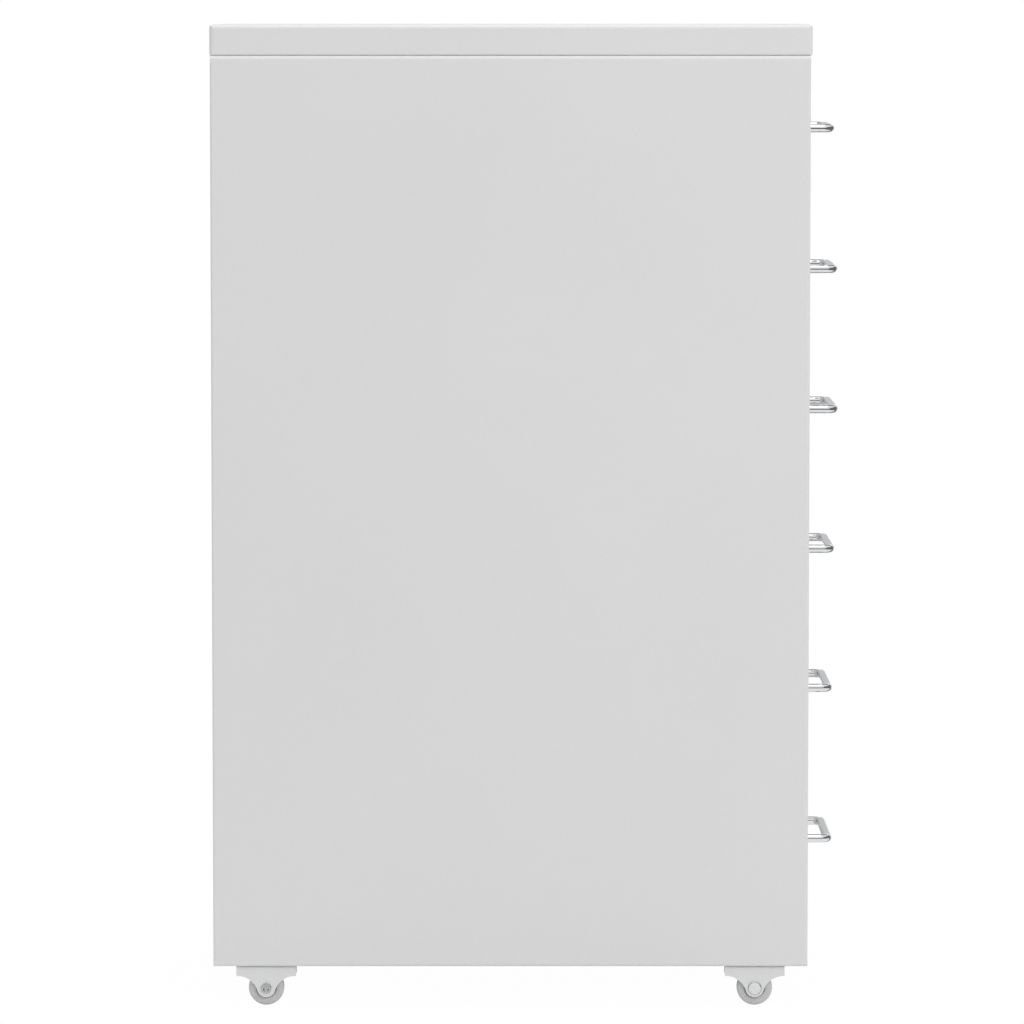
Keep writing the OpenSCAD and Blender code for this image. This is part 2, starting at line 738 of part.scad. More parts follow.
if (wanted("lid")) lid();
if (wanted("side_panel_left")) side_panel("left");
if (wanted("side_panel_right")) side_panel("right");
if (wanted("back_panel")) back_panel();
if (wanted("bottom_panel")) bottom_panel();
if (wanted("top_rail")) top_rail();
for (n = DRAWERS, h = HANDS) if (wanted(str("runner_", h, "_", n))) runner(n, h);
for (n = DRAWERS) {
    if (wanted(str("drawer_", n, "_tray"))) drawer_tray(n);
    if (wanted(str("drawer_", n, "_front"))) drawer_front(n);
    if (wanted(str("drawer_", n, "_handle"))) handle(n);
    if (wanted(str("drawer_", n, "_handle_screws"))) handle_screws(n);
}
for (c = CORNERS) {
    if (wanted(str("caster_bracket_", c))) caster_bracket(c);
    if (wanted(str("caster_wheel_", c))) caster_wheel(c);
    if (wanted(str("caster_axle_", c))) caster_axle(c);
}
if (wanted("caster_screws")) caster_screws();
if (wanted("caster_nuts")) caster_nuts();
if (wanted("lid_screws")) lid_screws();
if (wanted("lid_nuts")) lid_nuts();
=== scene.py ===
import bpy
import numpy as np
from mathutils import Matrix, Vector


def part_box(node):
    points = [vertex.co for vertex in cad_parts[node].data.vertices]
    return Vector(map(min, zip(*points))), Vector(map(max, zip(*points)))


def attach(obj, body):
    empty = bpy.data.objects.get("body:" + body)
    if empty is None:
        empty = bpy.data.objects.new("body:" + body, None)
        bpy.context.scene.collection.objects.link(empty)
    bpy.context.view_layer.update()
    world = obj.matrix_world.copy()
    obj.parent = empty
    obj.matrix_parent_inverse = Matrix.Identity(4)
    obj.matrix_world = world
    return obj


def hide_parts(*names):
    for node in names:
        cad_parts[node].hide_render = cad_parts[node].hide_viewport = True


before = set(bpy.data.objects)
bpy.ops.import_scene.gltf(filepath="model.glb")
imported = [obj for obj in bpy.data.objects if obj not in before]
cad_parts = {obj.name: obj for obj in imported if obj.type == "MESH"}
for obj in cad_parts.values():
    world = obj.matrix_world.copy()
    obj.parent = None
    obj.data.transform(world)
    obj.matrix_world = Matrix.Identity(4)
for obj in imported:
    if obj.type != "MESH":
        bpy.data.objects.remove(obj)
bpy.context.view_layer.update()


# ---- Camera ----
# A long lens at the height of the lid, looking square at the cabinet's left side and a little
# down, so that the drawers' handles stand out to the right.
tilt_down = 4.743
camera = bpy.data.objects.new("camera", bpy.data.cameras.new("camera"))
camera.data.lens = 209.95
camera.data.sensor_width = 36.0
camera.data.clip_end = 50.0
camera.location = (-4.300, 0.0111, 0.6945)
camera.rotation_euler = (np.radians(90 - tilt_down), 0, np.radians(-90))
bpy.context.scene.collection.objects.link(camera)
bpy.context.scene.camera = camera
bpy.context.scene.view_settings.view_transform = "Standard"


# ---- Studio ----
# A white sweep under soft even light, with soft boxes to the front, above and behind. Dark and
# grey flags, which only gloss can see, glow round it as painted shade in the reflections and give
# the chrome its lines.
def linear(code):
    """The linear colour of an sRGB hex value: each channel is divided by 12.92 where it is dark,
    and otherwise (c + 0.055) / 1.055 to the power 2.4."""
    srgb = np.array([int(code[i:i + 2], 16) for i in (1, 3, 5)]) / 255
    return (*np.where(srgb <= 0.04045, srgb / 12.92, ((srgb + 0.055) / 1.055) ** 2.4), 1.0)


def add(tree, kind, inputs=None, **settings):
    """Adds one node to a tree. settings are its properties, and inputs gives each socket, by
    name or number, a value or another node's output. A Map Range takes its old limits on
    sockets 1 and 2 and the new ones on 3 and 4, and a Mix its two colours on 6 and 7."""
    new = tree.nodes.new(kind)
    for name, value in settings.items():
        setattr(new, name, value)
    for socket, value in (inputs or {}).items():
        if isinstance(value, bpy.types.NodeSocket):
            tree.links.new(value, new.inputs[socket])
        else:
            new.inputs[socket].default_value = value
    return new


def start_material(name):
    """An empty node material with its output and its shader left to the caller."""
    made = bpy.data.materials.new(name)
    made.use_nodes = True
    made.node_tree.nodes.clear()
    return made


def seen_by_eye(tree):
    """1 for a ray that the camera, a gloss or a clear piece sends, and 0 for diffuse light."""
    ray = add(tree, "ShaderNodeLightPath").outputs
    either = add(tree, "ShaderNodeMath", {0: ray["Is Camera Ray"], 1: ray["Is Glossy Ray"]},
                 operation="MAXIMUM")
    return add(tree, "ShaderNodeMath", {0: either.outputs[0], 1: ray["Is Transmission Ray"]},
               operation="MAXIMUM").outputs[0]


def band(name, radii, heights, half_turn=180, middle=180, columns=97):
    """A ring, disc or round wall on grid points: from the first radius and height to the second,
    and half_turn degrees to each side of the middle direction, where 0 is +X and 180 is -X."""
    angle = np.radians(np.linspace(middle - half_turn, middle + half_turn, columns))
    radius, height = np.array(radii)[:, None], np.array(heights)[:, None]
    at = np.arange(2 * angle.size).reshape(2, -1)
    quads = np.stack([at[0, :-1], at[1, :-1], at[1, 1:], at[0, 1:]], -1)
    points = [radius * np.cos(angle), radius * np.sin(angle), height + 0 * angle]
    mesh = bpy.data.meshes.new(name)
    mesh.from_pydata(np.stack(points, -1).reshape(-1, 3), [], quads)
    made = bpy.data.objects.new(name, mesh)
    bpy.context.scene.collection.objects.link(made)
    return made


world = bpy.data.worlds.new("soft_white_studio")
bpy.context.scene.world = world
world.use_nodes = True
world.node_tree.nodes.clear()
sky = world.node_tree
even = add(sky, "ShaderNodeBackground", {"Color": linear("#FFFFFF"), "Strength": 0.625})
white = add(sky, "ShaderNodeBackground", {"Color": linear("#FFFFFF"), "Strength": 1.0})
both = add(sky, "ShaderNodeMixShader",
           {0: seen_by_eye(sky), 1: even.outputs[0], 2: white.outputs[0]})
add(sky, "ShaderNodeOutputWorld", {"Surface": both.outputs[0]})

# painted studio floor: seen nearly white, while it still takes a part of the cabinet's shadow,
# and quite white from 1 m out, so that it runs into the backdrop without an edge
shadow_to, white_from, near_share = 0.35, 1.0, 0.985
floor = band("floor", (1e-6, 30.0), (0.0, 0.0))
floor_paint = start_material("white_studio_floor")
sweep = floor_paint.node_tree
paint = add(sweep, "ShaderNodeBsdfDiffuse", {"Color": linear("#F0F0F0")})
glow = add(sweep, "ShaderNodeEmission", {"Color": linear("#FFFFFF"), "Strength": 1.0})
away = add(sweep, "ShaderNodeVectorMath", {0: add(sweep, "ShaderNodeTexCoord").outputs["Object"]},
           operation="LENGTH")
fade = add(sweep, "ShaderNodeMapRange",
           {0: away.outputs["Value"], 1: shadow_to, 2: white_from, 3: near_share, 4: 1.0})
share = add(sweep, "ShaderNodeMath", {0: seen_by_eye(sweep), 1: fade.outputs[0]},
            operation="MULTIPLY")
floor_mix = add(sweep, "ShaderNodeMixShader",
                {0: share.outputs[0], 1: paint.outputs[0], 2: glow.outputs[0]})
add(sweep, "ShaderNodeOutputMaterial", {"Surface": floor_mix.outputs[0]})
floor.data.materials.append(floor_paint)

# glowing flags, each a fixed grey that only gloss sees: painted shade of the unlit studio in the
# reflections, nearly black on the camera's side, mid grey in front, and mid to pale grey on the
# far side and above it
for flag, shade in (
    (band("flag_low_wall", (6.0, 6.0), (0.0, 1.4), 65), "#2A2A2C"),
    (band("flag_camera_floor", (1.7, 6.0), (0.001, 0.001), 80), "#4A4A4C"),
    (band("flag_front_wall", (3.2, 3.2), (0.0, 2.1), 42, -90), "#727274"),
    (band("flag_front_floor", (1.1, 3.2), (0.002, 0.002), 42, -90), "#727274"),
    (band("flag_far_wall", (6.0, 6.0), (0.0, 1.4), 65, 0), "#CCCCCE"),
    (band("flag_far_floor", (0.25, 1.2), (0.001, 0.001), 80, 0), "#A0A0A2"),
    (band("flag_far_ceiling", (0.9, 4.4), (3.4, 3.4), 60, 0), "#747476"),
):
    # each flag glows with its own grey and nothing lights it: painted shade that only the
    # reflections show
    painted_shade = start_material(flag.name + "_felt")
    shade_glow = add(painted_shade.node_tree, "ShaderNodeEmission", {"Color": linear(shade), "Strength": 1.0})
    add(painted_shade.node_tree, "ShaderNodeOutputMaterial", {"Surface": shade_glow.outputs[0]})
    flag.data.materials.append(painted_shade)
    flag.visible_camera = flag.visible_diffuse = flag.visible_shadow = False
    flag.visible_transmission = flag.visible_volume_scatter = False

# three soft boxes, of which the front one is kept out of the chrome's reflections
for name, spot, turn, size, watts in (
    ("soft_box_front", (-2.5, -2.0, 1.9), (60, 0, -51), 2.4, 33.5),
    ("soft_box_rear", (2.6, 2.0, 2.6), (52, 0, 128), 2.4, 15.7),
    ("soft_box_top", (-0.5, 0.0, 2.9), (12, 0, -90), 2.0, 24.5),
):
    lamp = bpy.data.objects.new(name, bpy.data.lights.new(name, "AREA"))
    lamp.data.size = size
    lamp.data.energy = watts
    lamp.location = spot
    lamp.rotation_euler = np.radians(turn)
    lamp.visible_glossy = name != "soft_box_front"
    bpy.context.scene.collection.objects.link(lamp)


# ---- Body ----
# Side panels, back, bottom with its base rail, top rail and the pressed lid: folded 0.8 mm
# sheet steel, spot-welded, then powder coated light grey and baked as one.

# polyester powder coat: satin, even light grey, with a soft orange peel that the eye meets as
# a faint unevenness of the gloss. Real peel is about 1.5 mm across; 2.5 mm shows at this size.
cloud_size, grain_size, peel_size = 0.22, 0.0012, 0.0025
powder_coat = start_material("powder_coat_light_grey")
coat = powder_coat.node_tree
place = add(coat, "ShaderNodeTexCoord").outputs["Object"]
cloud = add(coat, "ShaderNodeTexNoise", {"Vector": place, "Scale": 1 / cloud_size, "Detail": 3.0,
                                         "Roughness": 0.55})
tone = add(coat, "ShaderNodeMix", {0: cloud.outputs[0], 6: linear("#D9D9D9"),
                                   7: linear("#DDDDDD")}, data_type="RGBA")
grain = add(coat, "ShaderNodeTexNoise", {"Vector": place, "Scale": 1 / grain_size, "Detail": 2.0})
speck = add(coat, "ShaderNodeMapRange", {0: grain.outputs[0], 1: 0.3, 2: 0.7, 3: 0.985, 4: 1.015})
tint = add(coat, "ShaderNodeVectorMath", {0: tone.outputs[2], "Scale": speck.outputs[0]},
           operation="SCALE")
peel = add(coat, "ShaderNodeTexNoise", {"Vector": place, "Scale": 1 / peel_size, "Detail": 1.5})
gloss = add(coat, "ShaderNodeMapRange", {0: cloud.outputs[0], 1: 0.3, 2: 0.7, 3: 0.36, 4: 0.43})
relief = add(coat, "ShaderNodeBump", {"Height": peel.outputs[0], "Strength": 0.35,
                                      "Distance": 0.00006})
shader = add(coat, "ShaderNodeBsdfPrincipled",
             {"Base Color": tint.outputs[0], "Roughness": gloss.outputs[0],
              "Normal": relief.outputs[0], "IOR": 1.5})
add(coat, "ShaderNodeOutputMaterial", {"Surface": shader.outputs[0]})

for name in ("side_panel_left", "side_panel_right", "back_panel", "bottom_panel", "top_rail",
             "lid"):
    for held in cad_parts[name].material_slots:
        held.material = powder_coat


# ---- Runners ----
# Twelve channels of hot-dip galvanised strip, roll formed and welded inside the side panels,
# each with a stop tab at both ends of its drawer's travel.

# galvanised steel: crystals of zinc 8 to 12 mm across, each with its own grey and its own sheen
crystal_size, frost_size = 0.010, 0.0015
galvanised = start_material("galvanised_strip")
zinc_skin = galvanised.node_tree
place = add(zinc_skin, "ShaderNodeTexCoord").outputs["Object"]
spangle = add(zinc_skin, "ShaderNodeTexVoronoi", {"Vector": place, "Scale": 1 / crystal_size,
                                                  "Randomness": 1.0})
crystal = add(zinc_skin, "ShaderNodeSeparateColor", {0: spangle.outputs["Color"]})
grey = add(zinc_skin, "ShaderNodeMix", {0: crystal.outputs[0], 6: linear("#A9ACAE"),
                                        7: linear("#C3C6C8")}, data_type="RGBA")
sheen = add(zinc_skin, "ShaderNodeMapRange", {0: crystal.outputs[1], 3: 0.30, 4: 0.52})
frost = add(zinc_skin, "ShaderNodeTexNoise",
            {"Vector": place, "Scale": 1 / frost_size, "Detail": 2.0})
relief = add(zinc_skin, "ShaderNodeBump", {"Height": frost.outputs[0], "Strength": 0.3,
                                           "Distance": 0.00003})
shader = add(zinc_skin, "ShaderNodeBsdfPrincipled",
             {"Base Color": grey.outputs[2], "Metallic": 1.0, "Roughness": sheen.outputs[0],
              "Normal": relief.outputs[0]})
add(zinc_skin, "ShaderNodeOutputMaterial", {"Surface": shader.outputs[0]})

for name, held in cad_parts.items():
    if name.startswith("runner_"):
        held.material_slots[0].material = galvanised


# ---- Drawers ----
# Six trays of 0.7 mm sheet with rolled-out rims and a shallow pan for a front, spot-welded
# together and coated with the body's powder.
for n in range(1, 7):
    for name in (f"drawer_{n}_tray", f"drawer_{n}_front"):
        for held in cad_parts[name].material_slots:
            held.material = powder_coat


# ---- Handles ----
# Steel wire 6 mm thick, cut to length, drilled and threaded in both feet, bent twice round a
# 6 mm former and chrome plated. The feet stand on the drawer front.
def closed(name, points, corners):
    """One closed mesh over points and triangles. Points that fall together become one, so that a
    row can shrink to a pole, and the faces are turned outwards if the volume that they hold comes
    out negative."""
    _, first, same = np.unique(np.round(points, 8), axis=0, return_index=True, return_inverse=True)
    points, corners = points[first], same.reshape(-1)[corners]
    real = (corners != np.roll(corners, 1, axis=1)).all(axis=1)
    corners = corners[real]
    a, b, c = np.moveaxis(points[corners], 1, 0)
    if np.einsum("ij,ij->", a, np.cross(b, c)) < 0:
        corners = corners[:, ::-1]
    mesh = bpy.data.meshes.new(name)
    mesh.from_pydata(points, [], corners)
    mesh.polygons.foreach_set("use_smooth", np.ones(len(corners), bool))
    mesh.set_sharp_from_angle(angle=np.radians(32))
    made = bpy.data.objects.new(name, mesh)
    bpy.context.scene.collection.objects.link(made)
    return made


def skin(name, grids):
    """One closed mesh over grids of points, rows by columns, whose last column lies beside the
    first."""
    corners, start = [], 0
    for grid in grids:
        at = start + np.arange(grid.shape[0] * grid.shape[1]).reshape(grid.shape[:2])
        beside = np.roll(at, -1, axis=1)
        corners.append(np.stack([at[:-1], at[1:], beside[1:]], -1).reshape(-1, 3))
        corners.append(np.stack([at[:-1], beside[1:], beside[:-1]], -1).reshape(-1, 3))
        start += at.size
    return closed(name, np.concatenate([grid.reshape(-1, 3) for grid in grids]),
                  np.concatenate(corners))


def bent_wire(low, high, columns=40):
    """Points on one handle, from the corners of its box. The middle of the wire runs out along
    -Y, turns a quarter circle, runs along X, turns again and comes back: x and y are the sums of
    the straight runs and of the sines and cosines of the two turned angles. Each row is a circle
    across that line, squeezed a little where the wire bends, and at both feet the rows go round
    the chamfer and down the wall of the threaded hole to its bottom."""
    wire, bend = (high.z - low.z) / 2, 0.006
    hole, depth, lead_in, edge = 0.00155, 0.011, 0.0003, 0.0005
    clear, leg_rows, bend_rows, grip_rows = 0.002, 8, 19, 25
    span, reach = high.x - wire, high.y - low.y
    leg, turn, grip = reach - wire - bend, np.pi / 2 * bend, 2 * (span - bend)
    length = 2 * (leg + turn) + grip
    foot = np.array([[depth, 0], [depth, hole], [lead_in, hole], [0, hole + lead_in],
                     [0, wire - edge], [0.2 * edge, wire - 0.4 * edge], [edge, wire]])
    ends = np.array([leg, leg + turn, leg + turn + grip, leg + 2 * turn + grip])
    along = np.concatenate([np.linspace(clear, ends[0], leg_rows),
                            np.linspace(ends[0], ends[1], bend_rows)[1:],
                            np.linspace(ends[1], ends[2], grip_rows)[1:],
                            np.linspace(ends[2], ends[3], bend_rows)[1:],
                            np.linspace(ends[3], length - clear, leg_rows)[1:]])
    s = np.concatenate([foot[:, 0], along, length - foot[::-1, 0]])[:, None]
    r = np.concatenate([foot[:, 1], 0 * along + wire, foot[::-1, 1]])[:, None]
    first = np.clip((s - ends[0]) / bend, 0, np.pi / 2)
    second = np.clip((s - ends[2]) / bend, 0, np.pi / 2)
    x = -span + bend * (1 - np.cos(first)) + np.clip(s - ends[1], 0, grip) + bend * np.sin(second)
    y = (high.y - np.clip(s, 0, leg) - bend * np.sin(first) + bend * (1 - np.cos(second))
         + np.clip(s - ends[3], 0, leg))
    squeeze = 0.05 * (np.sin(2 * first) + np.sin(2 * second))
    angle = np.linspace(0, 2 * np.pi, columns + 1)[:-1]
    across = r * (1 - squeeze) * np.cos(angle)
    heading = first + second
    return np.stack([x + across * np.cos(heading), y + across * np.sin(heading),
                     (low.z + high.z) / 2 + r * np.sin(angle)], -1)


# bright chrome over nickel: a mirror with a cool cast, a little softened by hairline polishing
handled_size, polish_size = 0.006, 0.0008
chrome_plate = start_material("bright_chrome_plate")
bright = chrome_plate.node_tree
place = add(bright, "ShaderNodeTexCoord").outputs["Object"]
handling = add(bright, "ShaderNodeTexNoise", {"Vector": place, "Scale": 1 / handled_size,
                                              "Detail": 4.0, "Roughness": 0.6})
gloss = add(bright, "ShaderNodeMapRange",
            {0: handling.outputs[0], 1: 0.35, 2: 0.75, 3: 0.045, 4: 0.11})
cast = add(bright, "ShaderNodeMix", {0: handling.outputs[0], 6: linear("#D6D8DA"),
                                     7: linear("#E2E3E4")}, data_type="RGBA")
polish = add(bright, "ShaderNodeTexNoise",
             {"Vector": place, "Scale": 1 / polish_size, "Detail": 2.0})
relief = add(bright, "ShaderNodeBump", {"Height": polish.outputs[0], "Strength": 0.12,
                                        "Distance": 0.00001})
shader = add(bright, "ShaderNodeBsdfPrincipled",
             {"Base Color": cast.outputs[2], "Metallic": 1.0, "Roughness": gloss.outputs[0],
              "Normal": relief.outputs[0]})
add(bright, "ShaderNodeOutputMaterial", {"Surface": shader.outputs[0]})

for n in range(1, 7):
    pull = skin(f"handle_wire_{n}", [bent_wire(*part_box(f"drawer_{n}_handle"))])
    pull.data.materials.append(chrome_plate)
    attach(pull, f"drawer_{n}")
    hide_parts(f"drawer_{n}_handle")


# ---- Caster brackets ----
# Four saddles of 1.5 mm strip, blanked, folded down on both sides of the wheel and bright
# zinc plated. Tumbling has eased their edges. Two screws hold each one under the body.

# bright zinc plate: pale metal under a thin milky film, cloudy where the bath left it uneven
cloudy_size, tooling_size = 0.009, 0.0009
zinc_plate = start_material("bright_zinc_plate")
bath = zinc_plate.node_tree
place = add(bath, "ShaderNodeTexCoord").outputs["Object"]
stain = add(bath, "ShaderNodeTexNoise", {"Vector": place, "Scale": 1 / cloudy_size,
                                         "Detail": 4.0, "Roughness": 0.6})
blue = add(bath, "ShaderNodeMix", {0: stain.outputs[0], 6: linear("#E2E6E8"),
                                   7: linear("#E8E6E3")}, data_type="RGBA")
sheen = add(bath, "ShaderNodeMapRange", {0: stain.outputs[0], 1: 0.3, 2: 0.7, 3: 0.48, 4: 0.62})
tooling = add(bath, "ShaderNodeTexNoise",
              {"Vector": place, "Scale": 1 / tooling_size, "Detail": 3.0})
relief = add(bath, "ShaderNodeBump", {"Height": tooling.outputs[0], "Strength": 0.3,
                                      "Distance": 0.00003})
shader = add(bath, "ShaderNodeBsdfPrincipled",
             {"Base Color": blue.outputs[2], "Metallic": 0.45, "Roughness": sheen.outputs[0],
              "Normal": relief.outputs[0]})
add(bath, "ShaderNodeOutputMaterial", {"Surface": shader.outputs[0]})

edge_radius, edge_steps, sharper_than = 0.00025, 2, np.radians(40)
corners = [f"{row}_{side}" for row in ("front", "rear") for side in ("left", "right")]
for corner in corners:
    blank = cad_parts[f"caster_bracket_{corner}"].data
    points, ends = np.empty(3 * len(blank.vertices)), np.empty(len(blank.loops), int)
    blank.vertices.foreach_get("co", points)
    blank.loops.foreach_get("vertex_index", ends)
    saddle = closed(f"saddle_{corner}", points.reshape(-1, 3), ends.reshape(-1, 3))
    saddle.data.materials.append(zinc_plate)
    ease = saddle.modifiers.new("eased_edges", "BEVEL")
    ease.width, ease.segments, ease.angle_limit = edge_radius, edge_steps, sharper_than
    ease.harden_normals = True
    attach(saddle, "cabinet")
    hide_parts(f"caster_bracket_{corner}")


# ---- Wheels ----
# Four wheels of 25 mm, moulded in grey nylon. The two halves of the mould leave a fine parting
# line round the tread. The sides are dished between the hub and the rim.
def turned(profile, centre, columns, swell=0.0):
    """A profile of (radius, distance along X) turned about the X axis through a centre: y and z
    are the radius times the sine and cosine of the angle. swell is added to the radius."""
    angle = np.linspace(0, 2 * np.pi, columns + 1)[:-1]
    radius, run = profile[:, :1] + swell, profile[:, 1:]
    return np.stack([centre.x + run + 0 * angle, centre.y + radius * np.sin(angle),
                     centre.z + radius * np.cos(angle)], -1)


def arc(middle, radius, start, end, steps):
    """Points on an arc: the middle plus the radius times the cosine and sine of an angle that
    goes from start to end, in degrees."""
    angle = np.radians(np.linspace(start, end, steps))[:, None]
    return np.array(middle) + radius * np.hstack([np.cos(angle), np.sin(angle)])


def wheel_profile(radius, half_hub):
    """Half the wheel's section, from the bore over hub, dish and rim to the middle of the tread,
    as (radius, distance from the middle), then the same turned over for the other half."""
    bore, hub, half, rim, dish = 0.00255, 0.0055, 0.006, 0.0032, 0.0015
    bore_edge, hub_edge, rim_edge, soft, shoulder = 0.0003, 0.0004, 0.0010, 0.0005, 0.0024
    line, half_line = 0.00008, 0.0002
    side = np.vstack([
        [[bore, 0]],
        arc((bore + bore_edge, half_hub - bore_edge), bore_edge, 180, 90, 4),
        arc((hub - hub_edge, half_hub - hub_edge), hub_edge, 90, 0, 5),
        arc((hub + soft, half - dish + soft), soft, 180, 270, 5),
        arc((radius - shoulder - rim - soft, half - dish + soft), soft, 270, 360, 5),
        arc((radius - shoulder - rim + rim_edge, half - rim_edge), rim_edge, 180, 90, 6),
        arc((radius - shoulder - line, half - shoulder), shoulder, 90, 0, 12),
        [[radius - line, half_line], [radius, 0]],
    ])
    return np.vstack([side, side[-2::-1] * (1, -1)])


# nylon 6, moulded, mid grey: waxy and half matt, its tread scuffed and a little dusty
flow_size, scuff_size = 0.008, 0.0010
moulded_nylon = start_material("moulded_nylon_grey")
resin = moulded_nylon.node_tree
place = add(resin, "ShaderNodeTexCoord").outputs["Object"]
flow = add(resin, "ShaderNodeTexNoise", {"Vector": place, "Scale": 1 / flow_size, "Detail": 3.0})
scuff = add(resin, "ShaderNodeTexNoise", {"Vector": place, "Scale": 1 / scuff_size,
                                          "Detail": 4.0, "Roughness": 0.7})
body_grey = add(resin, "ShaderNodeMix", {0: flow.outputs[0], 6: linear("#C0C0C1"),
                                         7: linear("#CCCCCC")}, data_type="RGBA")
dust = add(resin, "ShaderNodeMapRange", {0: scuff.outputs[0], 1: 0.50, 2: 0.75, 3: 0.0, 4: 0.35})
worn = add(resin, "ShaderNodeMix", {0: dust.outputs[0], 6: body_grey.outputs[2],
                                    7: linear("#D2D1CE")}, data_type="RGBA")
sheen = add(resin, "ShaderNodeMapRange", {0: scuff.outputs[0], 1: 0.3, 2: 0.7, 3: 0.36, 4: 0.55})
relief = add(resin, "ShaderNodeBump", {"Height": scuff.outputs[0], "Strength": 0.25,
                                       "Distance": 0.00005})
shader = add(resin, "ShaderNodeBsdfPrincipled",
             {"Base Color": worn.outputs[2], "Roughness": sheen.outputs[0],
              "Normal": relief.outputs[0], "IOR": 1.53})
add(resin, "ShaderNodeOutputMaterial", {"Surface": shader.outputs[0]})

for corner in corners:
    low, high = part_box(f"caster_wheel_{corner}")
    outline = wheel_profile((high.z - low.z) / 2, (high.x - low.x) / 2)
    loop = np.vstack([outline, outline[:1]])
    wheel = skin(f"wheel_{corner}", [turned(loop, (low + high) / 2, columns=96)])
    wheel.data.materials.append(moulded_nylon)
    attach(wheel, f"wheel_{corner}")
    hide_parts(f"caster_wheel_{corner}")


# ---- Axles ----
# Semi-tubular steel rivets, 5 mm thick. One end has a smooth low head; the hollow end is rolled
# over on the other cheek, which leaves a slightly uneven ring round a crater.
def rivet(middle, half, smooth_r, ring_r, cap, rim, out, columns=64):
    """A rivet about the X axis. Its profile starts at the middle of the smooth head, follows the
    head, the shank and the rolled ring, and ends at the bottom of the hollow. Small waves of
    three, five and nine round the circle are taken off the ring's radius, most at its rim. The
    head's edge is rounded by rim, ease takes off the small corners, and out is the side that
    the head is on."""
    shank, hollow, ease = 0.0025, 0.0015, 0.0001
    foot, curl, mouth, neck, pit = 0.0008, 0.0006, 0.0010, 0.0008, 0.0015
    head = np.vstack([[[0, half + cap]], arc((smooth_r * 0.45, half - cap), 2 * cap, 90, 62, 6),
                      arc((smooth_r - rim, half + ease), rim, 78, 0, 8),
                      [[smooth_r - 2 * ease, half], [shank, half]]])
    ring = np.vstack([[[shank, -half], [ring_r - foot, -half]],
                      arc((ring_r - curl, -half - curl), curl, 60, -90, 10),
                      arc((ring_r - foot - curl, -half - 2 * ease), mouth, -90, -150, 6),
                      [[hollow + ease, -half + 2 * ease], [hollow, -half + neck],
                       [hollow, -half + pit - 3 * ease], [4 * ease, -half + pit],
                       [0, -half + pit]]])
    profile = np.vstack([head, ring])
    angle = np.linspace(0, 2 * np.pi, columns + 1)[:-1]
    heights, lobes, lag = np.array([[0.00010, 3, 0.7], [0.00007, 5, 0.0], [0.00005, 9, 0.0]]).T
    wave = heights @ (np.cos(lobes[:, None] * angle + lag[:, None]) - 1)
    lip = np.clip((profile[:, :1] - shank) / (ring_r - shank), 0, 1) * (profile[:, 1:] < 0)
    return turned(profile * (1, out), middle, columns, swell=lip * wave)


# steel burnished by the tools that rolled the ring and pressed the head, a small uneven mirror
chatter_size = 0.0018
burnished_steel = start_material("burnished_steel")
burnish = burnished_steel.node_tree
place = add(burnish, "ShaderNodeTexCoord").outputs["Object"]
chatter = add(burnish, "ShaderNodeTexNoise",
              {"Vector": place, "Scale": 1 / chatter_size, "Detail": 2.0})
gloss = add(burnish, "ShaderNodeMapRange",
            {0: chatter.outputs[0], 1: 0.3, 2: 0.7, 3: 0.12, 4: 0.24})
relief = add(burnish, "ShaderNodeBump", {"Height": chatter.outputs[0], "Strength": 0.8,
                                         "Distance": 0.0001})
shader = add(burnish, "ShaderNodeBsdfPrincipled",
             {"Base Color": linear("#B4B6B7"), "Metallic": 1.0, "Roughness": gloss.outputs[0],
              "Normal": relief.outputs[0]})
add(burnish, "ShaderNodeOutputMaterial", {"Surface": shader.outputs[0]})

smooth_r, ring_r, rim = 0.0048, 0.0039, 0.0008
for corner in corners:
    low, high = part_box(f"caster_axle_{corner}")
    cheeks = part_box(f"caster_bracket_{corner}")
    half = (cheeks[1].x - cheeks[0].x) / 2
    outside = -1 if corner.endswith("left") else 1
    smooth_end = outside if corner.startswith("front") else -outside
    middle = (low + high) / 2
    cap = (high.x - low.x) / 2 - half
    pin = skin(f"axle_{corner}", [rivet(middle, half, smooth_r, ring_r, cap, rim, smooth_end)])
    pin.data.materials.append(zinc_plate)
    pin.data.materials.append(burnished_steel)
    centres = np.empty(3 * len(pin.data.polygons))
    pin.data.polygons.foreach_get("center", centres)
    away = centres.reshape(-1, 3) - np.array(middle)
    worked = (away[:, 0] * smooth_end < -half) | (np.hypot(*away[:, 1:].T) > smooth_r - rim)
    pin.data.polygons.foreach_set("material_index", worked.astype(np.int32))
    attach(pin, "cabinet")
    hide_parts(f"caster_axle_{corner}")


